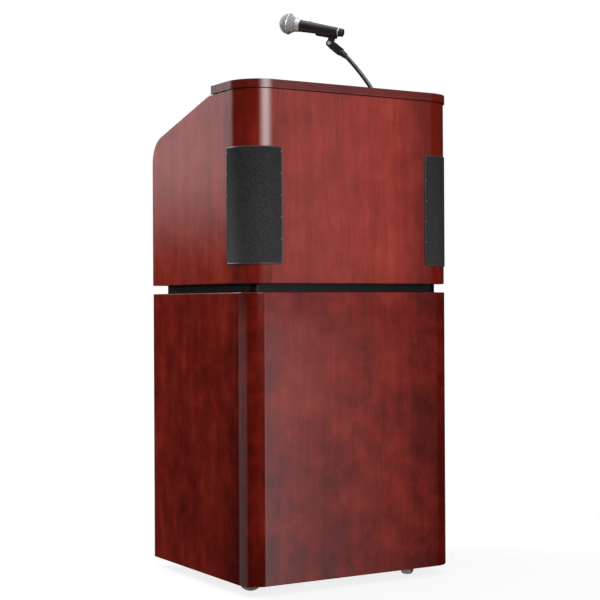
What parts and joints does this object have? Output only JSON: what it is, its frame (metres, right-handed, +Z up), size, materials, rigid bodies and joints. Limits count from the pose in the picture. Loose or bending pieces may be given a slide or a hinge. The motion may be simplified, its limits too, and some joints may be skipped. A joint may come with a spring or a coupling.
{
  "type": "lectern podium",
  "caption": "Standing lectern with a wheeled wood base cabinet, a lift-off top unit with sloped desk, corner speaker grilles, and a microphone on a flexible neck.",
  "frame": {"origin": "centre of the footprint at floor level", "axes": "+Z up; +Y towards the presenter's side, -Y towards the audience; +X to the right as seen from the audience"},
  "size_m": [0.598, 0.508, 1.4065],
  "materials": {
    "veneer": "red-brown stain under satin lacquer, upright grain",
    "inner_veneer": "red-brown stain, satin",
    "raw_wood": "unfinished timber",
    "black_board": "gloss black paint on board",
    "zinc": "zinc-plated",
    "wheel_rubber": "grey rubber tread",
    "black_metal": "satin black",
    "grille_cloth": "charcoal, finely perforated",
    "cone_paper": "matte black cone",
    "circuit": "green circuit board with components",
    "black_plastic": "fine moulded texture",
    "bright_metal": "bright plated",
    "mic_mesh": "woven wire mesh"
  },
  "bodies": {
    "base": {"base_shell": "veneer", "base_top_panel": "inner_veneer", "base_bottom_panel": "inner_veneer", "base_shelf": "inner_veneer", "shelf_pins": "zinc", "base_cleats": "raw_wood", "riser_plinth": "black_board", "locating_dowels": "zinc", "caster_plates": "zinc", "caster_screws": "zinc"},
    "lectern": {"upper_shell": "veneer", "top_cap": "veneer", "reading_desk": "veneer", "book_stop": "veneer", "upper_bottom_panel": "inner_veneer", "amp_shelf": "inner_veneer", "upper_cleats": "raw_wood", "speaker_baffles": "raw_wood", "speaker_baskets": "black_metal", "speaker_cones": "cone_paper", "speaker_magnets": "zinc", "grille_left": "grille_cloth", "grille_right": "grille_cloth", "grille_screws": "black_metal", "amp_chassis": "zinc", "amp_board": "circuit", "amp_faceplate": "black_metal", "input_jacks": "zinc", "power_inlet": "black_plastic", "neck_flange": "black_metal"},
    "neck_base": {"neck_lower": "black_metal"},
    "neck_mid": {"neck_middle": "black_metal"},
    "neck_top": {"neck_upper": "black_metal", "clip_yoke": "black_plastic", "clip_bolt": "bright_metal"},
    "clip": {"clip_cradle": "black_plastic"},
    "mic": {"mic_body": "black_metal", "mic_head": "mic_mesh", "mic_rings": "bright_metal", "mic_tail": "black_plastic"},
    "mic_slider": {"mic_switch": "bright_metal"},
    "power_rocker": {"power_switch": "black_plastic"},
    "dial_mic": {"knob_mic": "black_plastic"},
    "dial_aux": {"knob_aux": "black_plastic"},
    "dial_bass": {"knob_bass": "black_plastic"},
    "dial_treble": {"knob_treble": "black_plastic"},
    "swivel_fl": {"caster_fork_fl": "zinc", "caster_axle_fl": "zinc"},
    "wheel_fl": {"caster_wheel_fl": "wheel_rubber"},
    "swivel_fr": {"caster_fork_fr": "zinc", "caster_axle_fr": "zinc"},
    "wheel_fr": {"caster_wheel_fr": "wheel_rubber"},
    "swivel_rl": {"caster_fork_rl": "zinc", "caster_axle_rl": "zinc"},
    "wheel_rl": {"caster_wheel_rl": "wheel_rubber"},
    "brake_rl": {"brake_pedal_rl": "black_metal"},
    "swivel_rr": {"caster_fork_rr": "zinc", "caster_axle_rr": "zinc"},
    "wheel_rr": {"caster_wheel_rr": "wheel_rubber"},
    "brake_rr": {"brake_pedal_rr": "black_metal"}
  },
  "joints": [
    {"name": "lectern_lift", "type": "slide", "parent": "base", "child": "lectern", "axis": [0, 0, 1], "range_m": [0, 0.06]},
    {"name": "caster_swivel_fl", "type": "hinge", "parent": "base", "child": "swivel_fl", "pos_m": [-0.212, -0.166, 0.072], "axis": [0, 0, 1], "continuous": true},
    {"name": "wheel_spin_fl", "type": "hinge", "parent": "swivel_fl", "child": "wheel_fl", "pos_m": [-0.23343, -0.15312, 0.03], "axis": [-0.515, -0.8572, 0], "continuous": true},
    {"name": "caster_swivel_fr", "type": "hinge", "parent": "base", "child": "swivel_fr", "pos_m": [0.212, -0.166, 0.072], "axis": [0, 0, 1], "continuous": true},
    {"name": "wheel_spin_fr", "type": "hinge", "parent": "swivel_fr", "child": "wheel_fr", "pos_m": [0.19285, -0.18207, 0.03], "axis": [0.6428, -0.766, 0], "continuous": true},
    {"name": "caster_swivel_rl", "type": "hinge", "parent": "base", "child": "swivel_rl", "pos_m": [-0.212, 0.188, 0.072], "axis": [0, 0, 1], "continuous": true},
    {"name": "wheel_spin_rl", "type": "hinge", "parent": "swivel_rl", "child": "wheel_rl", "pos_m": [-0.21634, 0.21262, 0.03], "axis": [-0.9848, -0.1736, 0], "continuous": true},
    {"name": "brake_press_rl", "type": "hinge", "parent": "swivel_rl", "child": "brake_rl", "pos_m": [-0.21825, 0.22345, 0.066], "axis": [-0.9848, -0.1736, 0], "range_deg": [0, 12]},
    {"name": "caster_swivel_rr", "type": "hinge", "parent": "base", "child": "swivel_rr", "pos_m": [0.212, 0.188, 0.072], "axis": [0, 0, 1], "continuous": true},
    {"name": "wheel_spin_rr", "type": "hinge", "parent": "swivel_rr", "child": "wheel_rr", "pos_m": [0.22374, 0.21007, 0.03], "axis": [-0.8829, 0.4695, 0], "continuous": true},
    {"name": "brake_press_rr", "type": "hinge", "parent": "swivel_rr", "child": "brake_rr", "pos_m": [0.2289, 0.21979, 0.066], "axis": [-0.8829, 0.4695, 0], "range_deg": [0, 12]},
    {"name": "neck_swivel", "type": "hinge", "parent": "lectern", "child": "neck_base", "pos_m": [0.14, -0.116, 1.185], "axis": [0, 0, 1], "range_deg": [-90, 90]},
    {"name": "neck_bend_low", "type": "hinge", "parent": "neck_base", "child": "neck_mid", "pos_m": [0.1356, -0.11076, 1.21137], "axis": [0.766, 0.6428, 0], "range_deg": [-15, 15]},
    {"name": "neck_bend_high", "type": "hinge", "parent": "neck_mid", "child": "neck_top", "pos_m": [0.11711, -0.08872, 1.25075], "axis": [0.766, 0.6428, 0], "range_deg": [-15, 15]},
    {"name": "clip_tilt", "type": "hinge", "parent": "neck_top", "child": "clip", "pos_m": [0.07013, -0.03273, 1.3227], "axis": [0.766, 0.6428, 0], "range_deg": [-35, 25]},
    {"name": "mic_slide", "type": "slide", "parent": "clip", "child": "mic", "axis": [-0.6268, 0.747, 0.2215], "range_m": [0, 0.12]},
    {"name": "mic_switch_slide", "type": "slide", "parent": "mic", "child": "mic_slider", "axis": [-0.6268, 0.747, 0.2215], "range_m": [0, 0.006]},
    {"name": "power_rock", "type": "hinge", "parent": "lectern", "child": "power_rocker", "pos_m": [0.165, 0.213, 0.99], "axis": [1, 0, 0], "range_deg": [0, 8]},
    {"name": "dial_turn_mic", "type": "hinge", "parent": "lectern", "child": "dial_mic", "pos_m": [-0.16, 0.216, 0.99], "axis": [0, 1, 0], "range_deg": [-150, 150]},
    {"name": "dial_turn_aux", "type": "hinge", "parent": "lectern", "child": "dial_aux", "pos_m": [-0.11, 0.216, 0.99], "axis": [0, 1, 0], "range_deg": [-150, 150]},
    {"name": "dial_turn_bass", "type": "hinge", "parent": "lectern", "child": "dial_bass", "pos_m": [-0.06, 0.216, 0.99], "axis": [0, 1, 0], "range_deg": [-150, 150]},
    {"name": "dial_turn_treble", "type": "hinge", "parent": "lectern", "child": "dial_treble", "pos_m": [-0.01, 0.216, 0.99], "axis": [0, 1, 0], "range_deg": [-150, 150]}
  ],
  "couplings": [
    {"joint": "neck_bend_high", "follows": "neck_bend_low", "ratio": 1}
  ]
}
